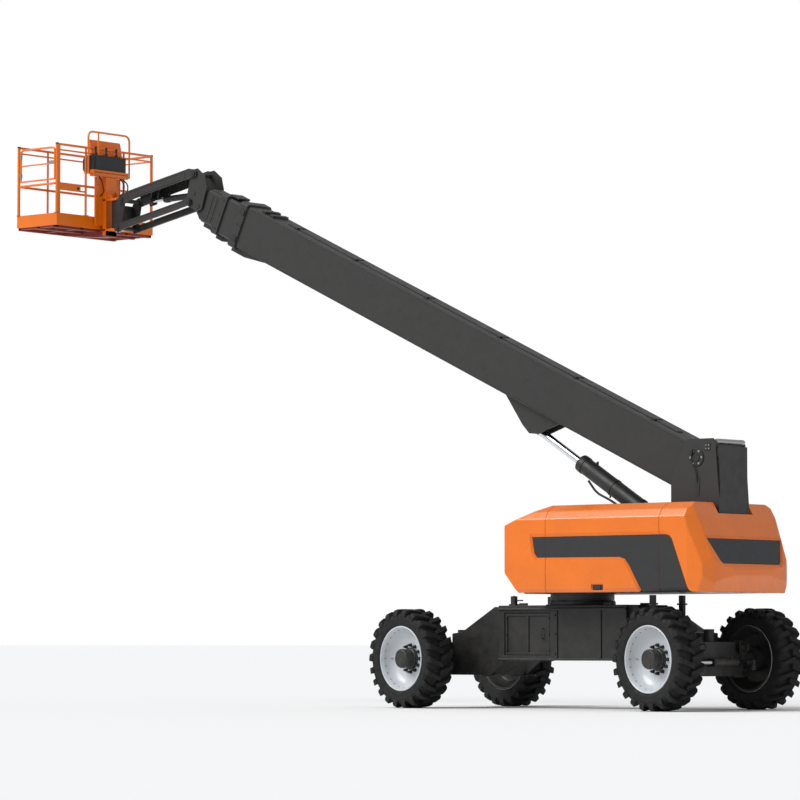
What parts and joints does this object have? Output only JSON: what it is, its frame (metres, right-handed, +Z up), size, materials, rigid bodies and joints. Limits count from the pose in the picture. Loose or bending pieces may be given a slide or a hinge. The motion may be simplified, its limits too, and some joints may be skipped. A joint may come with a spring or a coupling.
{
  "type": "telescopic boom lift with jib",
  "caption": "Self-propelled boom lift: steered wheels on a low chassis, slewing turntable, telescopic boom, levelled jib and a railed work platform.",
  "frame": {"origin": "on the ground, under the middle of the whole machine with its boom as parked", "axes": "+Z up; the boom points along -X; +Y is the machine's right side"},
  "size_m": [11.417, 2.4018, 7.654],
  "materials": {
    "dark_paint": "satin charcoal paint",
    "orange_paint": "gloss orange paint",
    "rim_paint": "satin silver-white paint",
    "tyre_rubber": "matte black rubber",
    "chrome": "polished rod",
    "iron": "painted casting",
    "black_plastic": "moulded",
    "floor_metal": "worn orange sheet"
  },
  "bodies": {
    "chassis": {"chassis_frame": "dark_paint", "front_axle": "dark_paint", "rear_axle": "dark_paint", "steer_cylinder_front": "dark_paint", "steer_cylinder_rear": "dark_paint", "slew_ring": "iron"},
    "knuckle_front_left": {"knuckle_front_left": "iron"},
    "wheel_front_left": {"rim_front_left": "rim_paint", "tyre_front_left": "tyre_rubber"},
    "knuckle_front_right": {"knuckle_front_right": "iron"},
    "wheel_front_right": {"rim_front_right": "rim_paint", "tyre_front_right": "tyre_rubber"},
    "knuckle_rear_left": {"knuckle_rear_left": "iron"},
    "wheel_rear_left": {"rim_rear_left": "rim_paint", "tyre_rear_left": "tyre_rubber"},
    "knuckle_rear_right": {"knuckle_rear_right": "iron"},
    "wheel_rear_right": {"rim_rear_right": "rim_paint", "tyre_rear_right": "tyre_rubber"},
    "steer_rod_front": {"steer_rod_front": "chrome"},
    "steer_rod_rear": {"steer_rod_rear": "chrome"},
    "turntable": {"turntable_frame": "dark_paint", "counterweight": "orange_paint", "front_cover_left": "orange_paint", "front_cover_right": "orange_paint", "engine": "iron"},
    "door_left": {"side_door_left": "orange_paint"},
    "door_right": {"side_door_right": "orange_paint"},
    "boom": {"boom_outer": "dark_paint"},
    "mid_boom": {"boom_mid": "dark_paint"},
    "fly_boom": {"boom_fly": "dark_paint"},
    "lift_barrel": {"lift_cylinder_barrel": "dark_paint"},
    "lift_rod": {"lift_cylinder_rod": "chrome"},
    "jib_head": {"jib_head": "dark_paint"},
    "jib_arm": {"jib_arm": "dark_paint"},
    "jib_link_left": {"jib_link_left": "dark_paint"},
    "jib_link_right": {"jib_link_right": "dark_paint"},
    "jib_barrel": {"jib_cylinder_barrel": "dark_paint"},
    "jib_rod": {"jib_cylinder_rod": "chrome"},
    "platform_bracket": {"platform_bracket": "dark_paint"},
    "platform": {"platform_support": "orange_paint", "basket_front_rails": "orange_paint", "basket_back_rails": "orange_paint", "basket_toe_board": "orange_paint", "basket_floor": "floor_metal", "control_console": "black_plastic"},
    "gate": {"basket_gate": "orange_paint"}
  },
  "joints": [
    {"name": "steer_front_left", "type": "hinge", "parent": "chassis", "child": "knuckle_front_left", "pos_m": [1.29549, -0.62, 0.6], "axis": [0, 0, 1], "range_deg": [-20, 40]},
    {"name": "steer_front_right", "type": "hinge", "parent": "chassis", "child": "knuckle_front_right", "pos_m": [1.29549, 0.62, 0.6], "axis": [0, 0, 1], "range_deg": [-20, 40]},
    {"name": "steer_rear_left", "type": "hinge", "parent": "chassis", "child": "knuckle_rear_left", "pos_m": [5.03549, -0.62, 0.6], "axis": [0, 0, 1], "range_deg": [-20, 40]},
    {"name": "steer_rear_right", "type": "hinge", "parent": "chassis", "child": "knuckle_rear_right", "pos_m": [5.03549, 0.62, 0.6], "axis": [0, 0, 1], "range_deg": [-20, 40]},
    {"name": "spin_front_left", "type": "hinge", "parent": "knuckle_front_left", "child": "wheel_front_left", "pos_m": [1.24253, -0.92037, 0.6], "axis": [-0.1736, -0.9848, 0], "continuous": true},
    {"name": "spin_front_right", "type": "hinge", "parent": "knuckle_front_right", "child": "wheel_front_right", "pos_m": [1.34845, 0.92037, 0.6], "axis": [0.1736, 0.9848, 0], "continuous": true},
    {"name": "spin_rear_left", "type": "hinge", "parent": "knuckle_rear_left", "child": "wheel_rear_left", "pos_m": [4.98253, -0.92037, 0.6], "axis": [-0.1736, -0.9848, 0], "continuous": true},
    {"name": "spin_rear_right", "type": "hinge", "parent": "knuckle_rear_right", "child": "wheel_rear_right", "pos_m": [5.08845, 0.92037, 0.6], "axis": [0.1736, 0.9848, 0], "continuous": true},
    {"name": "steer_rod_slide_front", "type": "slide", "parent": "chassis", "child": "steer_rod_front", "axis": [0, 1, 0], "range_m": [-0.16, 0.08]},
    {"name": "steer_rod_slide_rear", "type": "slide", "parent": "chassis", "child": "steer_rod_rear", "axis": [0, 1, 0], "range_m": [-0.08, 0.16]},
    {"name": "slew", "type": "hinge", "parent": "chassis", "child": "turntable", "pos_m": [3.16549, 0, 0], "axis": [0, 0, 1], "continuous": true},
    {"name": "boom_lift", "type": "hinge", "parent": "turntable", "child": "boom", "pos_m": [5.08549, 0, 2.95], "axis": [0, 1, 0], "range_deg": [-25, 50]},
    {"name": "telescope", "type": "slide", "parent": "boom", "child": "mid_boom", "axis": [-0.9056, 0, 0.4242], "range_m": [0, 6.2]},
    {"name": "telescope_fly", "type": "slide", "parent": "mid_boom", "child": "fly_boom", "axis": [-0.9056, 0, 0.4242], "range_m": [0, 6.2]},
    {"name": "lift_barrel_tilt", "type": "hinge", "parent": "turntable", "child": "lift_barrel", "pos_m": [4.66549, 0, 2], "axis": [0, 1, 0], "range_deg": [-22.5, 44.5]},
    {"name": "lift_rod_slide", "type": "slide", "parent": "lift_barrel", "child": "lift_rod", "axis": [-0.8443, 0, 0.5358], "range_m": [-0.42, 0.835]},
    {"name": "head_level", "type": "hinge", "parent": "fly_boom", "child": "jib_head", "pos_m": [-3.07376, 0, 6.51257], "axis": [0, 1, 0], "range_deg": [-50.5, 25.5]},
    {"name": "jib_lift", "type": "hinge", "parent": "jib_head", "child": "jib_arm", "pos_m": [-3.14451, 0, 6.94], "axis": [0, 1, 0], "range_deg": [-44, 80]},
    {"name": "jib_link_left_turn", "type": "hinge", "parent": "jib_head", "child": "jib_link_left", "pos_m": [-3.22451, 0, 6.58], "axis": [0, 1, 0], "range_deg": [-44.5, 80.5]},
    {"name": "jib_link_right_turn", "type": "hinge", "parent": "jib_head", "child": "jib_link_right", "pos_m": [-3.22451, 0, 6.58], "axis": [0, 1, 0], "range_deg": [-44.5, 80.5]},
    {"name": "platform_level", "type": "hinge", "parent": "jib_arm", "child": "platform_bracket", "pos_m": [-4.46318, 0, 6.69084], "axis": [0, 1, 0], "range_deg": [-80.5, 44.5]},
    {"name": "jib_barrel_tilt", "type": "hinge", "parent": "jib_head", "child": "jib_barrel", "pos_m": [-3.14451, 0, 6.69], "axis": [0, 1, 0], "range_deg": [-42, 76]},
    {"name": "jib_rod_slide", "type": "slide", "parent": "jib_barrel", "child": "jib_rod", "axis": [-0.9997, 0, -0.0249], "range_m": [-0.172, 0.311]},
    {"name": "platform_rotate", "type": "hinge", "parent": "platform_bracket", "child": "platform", "pos_m": [-4.70451, 0, 6.53], "axis": [0, 0, 1], "range_deg": [-80, 80]},
    {"name": "gate_swing", "type": "hinge", "parent": "platform", "child": "gate", "pos_m": [-5.64751, -0.899, 7.2], "axis": [0, 0, 1], "range_deg": [0, 90]},
    {"name": "door_right_lift", "type": "hinge", "parent": "turntable", "child": "door_right", "pos_m": [4.14349, 0.36, 2.405], "axis": [1, 0, 0], "range_deg": [0, 65]},
    {"name": "door_left_lift", "type": "hinge", "parent": "turntable", "child": "door_left", "pos_m": [4.14349, -0.36, 2.405], "axis": [-1, 0, 0], "range_deg": [0, 65]}
  ],
  "couplings": [
    {"joint": "steer_front_right", "follows": "steer_front_left", "ratio": 1},
    {"joint": "steer_rear_right", "follows": "steer_rear_left", "ratio": 1},
    {"joint": "steer_rod_slide_front", "follows": "steer_front_left", "m_per_rad": -0.2167},
    {"joint": "steer_rod_slide_rear", "follows": "steer_rear_left", "m_per_rad": 0.2167},
    {"joint": "telescope_fly", "follows": "telescope", "ratio": 1},
    {"joint": "lift_barrel_tilt", "follows": "boom_lift", "ratio": 0.88},
    {"joint": "lift_rod_slide", "follows": "boom_lift", "m_per_rad": 0.9487},
    {"joint": "head_level", "follows": "boom_lift", "ratio": -1},
    {"joint": "jib_link_left_turn", "follows": "jib_lift", "ratio": 1},
    {"joint": "jib_link_right_turn", "follows": "jib_lift", "ratio": 1},
    {"joint": "platform_level", "follows": "jib_lift", "ratio": -1},
    {"joint": "jib_barrel_tilt", "follows": "jib_lift", "ratio": 0.94},
    {"joint": "jib_rod_slide", "follows": "jib_lift", "m_per_rad": 0.22}
  ]
}
